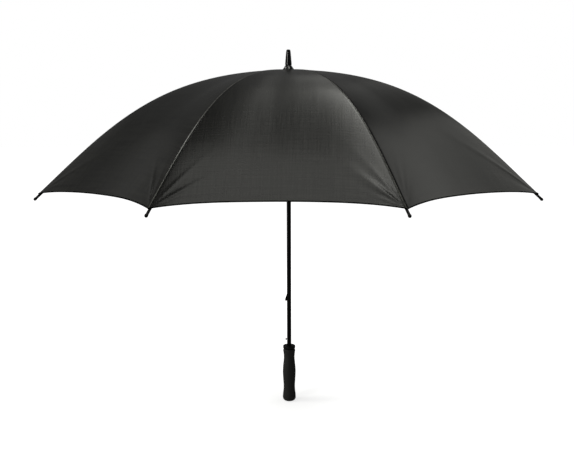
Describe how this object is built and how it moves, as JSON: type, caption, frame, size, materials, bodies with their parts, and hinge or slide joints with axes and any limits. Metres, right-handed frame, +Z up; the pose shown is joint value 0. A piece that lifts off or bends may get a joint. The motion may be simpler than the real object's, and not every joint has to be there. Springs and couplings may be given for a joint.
{
  "type": "golf umbrella",
  "caption": "Open golf umbrella with a ribbed fabric canopy, a long tapered spike, a straight shaft and a waisted foam grip.",
  "frame": {"origin": "centre of the grip's flat foot face", "axes": "+Z up the shaft towards the spike; -X towards the two latch springs; the X and Y axes run through the middle of a canopy gore"},
  "size_m": [1.1784, 1.1784, 0.9397],
  "materials": {
    "canopy_cloth": "matte",
    "black_metal": "satin",
    "fibreglass": "satin",
    "gloss_black": "gloss",
    "black_plastic": "satin",
    "grip_foam": "matte",
    "spring_steel": "satin"
  },
  "bodies": {
    "frame": {"shaft": "black_metal", "grip_foam": "grip_foam", "grip_collar": "black_plastic", "grip_end_cap": "black_plastic", "stop_pin": "black_plastic", "crown": "black_plastic", "crown_wire": "spring_steel", "crown_neck": "black_plastic", "crown_washer": "black_plastic", "ferrule_spike": "gloss_black"},
    "runner": {"runner": "black_plastic"},
    "top_catch": {"top_catch": "spring_steel"},
    "bottom_catch": {"bottom_catch": "spring_steel"},
    "rib_1": {"rib_1": "fibreglass", "rib_tip_1": "black_plastic", "rib_joint_1": "black_plastic", "canopy_gore_1": "canopy_cloth"},
    "stretcher_1": {"stretcher_1": "black_metal"},
    "rib_2": {"rib_2": "fibreglass", "rib_tip_2": "black_plastic", "rib_joint_2": "black_plastic", "canopy_gore_2": "canopy_cloth"},
    "stretcher_2": {"stretcher_2": "black_metal"},
    "rib_3": {"rib_3": "fibreglass", "rib_tip_3": "black_plastic", "rib_joint_3": "black_plastic", "canopy_gore_3": "canopy_cloth"},
    "stretcher_3": {"stretcher_3": "black_metal"},
    "rib_4": {"rib_4": "fibreglass", "rib_tip_4": "black_plastic", "rib_joint_4": "black_plastic", "canopy_gore_4": "canopy_cloth"},
    "stretcher_4": {"stretcher_4": "black_metal"},
    "rib_5": {"rib_5": "fibreglass", "rib_tip_5": "black_plastic", "rib_joint_5": "black_plastic", "canopy_gore_5": "canopy_cloth"},
    "stretcher_5": {"stretcher_5": "black_metal"},
    "rib_6": {"rib_6": "fibreglass", "rib_tip_6": "black_plastic", "rib_joint_6": "black_plastic", "canopy_gore_6": "canopy_cloth"},
    "stretcher_6": {"stretcher_6": "black_metal"},
    "rib_7": {"rib_7": "fibreglass", "rib_tip_7": "black_plastic", "rib_joint_7": "black_plastic", "canopy_gore_7": "canopy_cloth"},
    "stretcher_7": {"stretcher_7": "black_metal"},
    "rib_8": {"rib_8": "fibreglass", "rib_tip_8": "black_plastic", "rib_joint_8": "black_plastic", "canopy_gore_8": "canopy_cloth"},
    "stretcher_8": {"stretcher_8": "black_metal"}
  },
  "joints": [
    {"name": "runner_slide", "type": "slide", "parent": "frame", "child": "runner", "axis": [0, 0, 1], "range_m": [-0.283, 0], "deforming": ["top_catch", "bottom_catch"]},
    {"name": "top_catch_press", "type": "slide", "parent": "frame", "child": "top_catch", "axis": [1, 0, 0], "range_m": [0, 0.0048], "stiffness_N_per_m": 600},
    {"name": "bottom_catch_press", "type": "slide", "parent": "frame", "child": "bottom_catch", "axis": [1, 0, 0], "range_m": [0, 0.0048], "stiffness_N_per_m": 600},
    {"name": "rib_1_hinge", "type": "hinge", "parent": "frame", "child": "rib_1", "pos_m": [0.00478, -0.01155, 0.8714], "axis": [0.9239, 0.3827, 0], "range_deg": [0, 63.33], "deforming": ["canopy_gore_1"]},
    {"name": "stretcher_1_hinge", "type": "hinge", "parent": "rib_1", "child": "stretcher_1", "pos_m": [0.09454, -0.22825, 0.84045], "axis": [0.9239, 0.3827, 0], "range_deg": [-95.65, 0]},
    {"name": "rib_2_hinge", "type": "hinge", "parent": "frame", "child": "rib_2", "pos_m": [0.01155, -0.00478, 0.8714], "axis": [0.3827, 0.9239, 0], "range_deg": [0, 63.33], "deforming": ["canopy_gore_2"]},
    {"name": "stretcher_2_hinge", "type": "hinge", "parent": "rib_2", "child": "stretcher_2", "pos_m": [0.22825, -0.09454, 0.84045], "axis": [0.3827, 0.9239, 0], "range_deg": [-95.65, 0]},
    {"name": "rib_3_hinge", "type": "hinge", "parent": "frame", "child": "rib_3", "pos_m": [0.01155, 0.00478, 0.8714], "axis": [-0.3827, 0.9239, 0], "range_deg": [0, 63.33], "deforming": ["canopy_gore_3"]},
    {"name": "stretcher_3_hinge", "type": "hinge", "parent": "rib_3", "child": "stretcher_3", "pos_m": [0.22825, 0.09454, 0.84045], "axis": [-0.3827, 0.9239, 0], "range_deg": [-95.65, 0]},
    {"name": "rib_4_hinge", "type": "hinge", "parent": "frame", "child": "rib_4", "pos_m": [0.00478, 0.01155, 0.8714], "axis": [-0.9239, 0.3827, 0], "range_deg": [0, 63.33], "deforming": ["canopy_gore_4"]},
    {"name": "stretcher_4_hinge", "type": "hinge", "parent": "rib_4", "child": "stretcher_4", "pos_m": [0.09454, 0.22825, 0.84045], "axis": [-0.9239, 0.3827, 0], "range_deg": [-95.65, 0]},
    {"name": "rib_5_hinge", "type": "hinge", "parent": "frame", "child": "rib_5", "pos_m": [-0.00478, 0.01155, 0.8714], "axis": [-0.9239, -0.3827, 0], "range_deg": [0, 63.33], "deforming": ["canopy_gore_5"]},
    {"name": "stretcher_5_hinge", "type": "hinge", "parent": "rib_5", "child": "stretcher_5", "pos_m": [-0.09454, 0.22825, 0.84045], "axis": [-0.9239, -0.3827, 0], "range_deg": [-95.65, 0]},
    {"name": "rib_6_hinge", "type": "hinge", "parent": "frame", "child": "rib_6", "pos_m": [-0.01155, 0.00478, 0.8714], "axis": [-0.3827, -0.9239, 0], "range_deg": [0, 63.33], "deforming": ["canopy_gore_6"]},
    {"name": "stretcher_6_hinge", "type": "hinge", "parent": "rib_6", "child": "stretcher_6", "pos_m": [-0.22825, 0.09454, 0.84045], "axis": [-0.3827, -0.9239, 0], "range_deg": [-95.65, 0]},
    {"name": "rib_7_hinge", "type": "hinge", "parent": "frame", "child": "rib_7", "pos_m": [-0.01155, -0.00478, 0.8714], "axis": [0.3827, -0.9239, 0], "range_deg": [0, 63.33], "deforming": ["canopy_gore_7"]},
    {"name": "stretcher_7_hinge", "type": "hinge", "parent": "rib_7", "child": "stretcher_7", "pos_m": [-0.22825, -0.09454, 0.84045], "axis": [0.3827, -0.9239, 0], "range_deg": [-95.65, 0]},
    {"name": "rib_8_hinge", "type": "hinge", "parent": "frame", "child": "rib_8", "pos_m": [-0.00478, -0.01155, 0.8714], "axis": [0.9239, -0.3827, 0], "range_deg": [0, 63.33], "deforming": ["canopy_gore_8"]},
    {"name": "stretcher_8_hinge", "type": "hinge", "parent": "rib_8", "child": "stretcher_8", "pos_m": [-0.09454, -0.22825, 0.84045], "axis": [0.9239, -0.3827, 0], "range_deg": [-95.65, 0]}
  ],
  "couplings": [
    {"joint": "rib_1_hinge", "follows": "runner_slide", "rad_per_m": -3.9049},
    {"joint": "stretcher_1_hinge", "follows": "runner_slide", "rad_per_m": 5.8982},
    {"joint": "rib_2_hinge", "follows": "runner_slide", "rad_per_m": -3.9049},
    {"joint": "stretcher_2_hinge", "follows": "runner_slide", "rad_per_m": 5.8982},
    {"joint": "rib_3_hinge", "follows": "runner_slide", "rad_per_m": -3.9049},
    {"joint": "stretcher_3_hinge", "follows": "runner_slide", "rad_per_m": 5.8982},
    {"joint": "rib_4_hinge", "follows": "runner_slide", "rad_per_m": -3.9049},
    {"joint": "stretcher_4_hinge", "follows": "runner_slide", "rad_per_m": 5.8982},
    {"joint": "rib_5_hinge", "follows": "runner_slide", "rad_per_m": -3.9049},
    {"joint": "stretcher_5_hinge", "follows": "runner_slide", "rad_per_m": 5.8982},
    {"joint": "rib_6_hinge", "follows": "runner_slide", "rad_per_m": -3.9049},
    {"joint": "stretcher_6_hinge", "follows": "runner_slide", "rad_per_m": 5.8982},
    {"joint": "rib_7_hinge", "follows": "runner_slide", "rad_per_m": -3.9049},
    {"joint": "stretcher_7_hinge", "follows": "runner_slide", "rad_per_m": 5.8982},
    {"joint": "rib_8_hinge", "follows": "runner_slide", "rad_per_m": -3.9049},
    {"joint": "stretcher_8_hinge", "follows": "runner_slide", "rad_per_m": 5.8982}
  ]
}
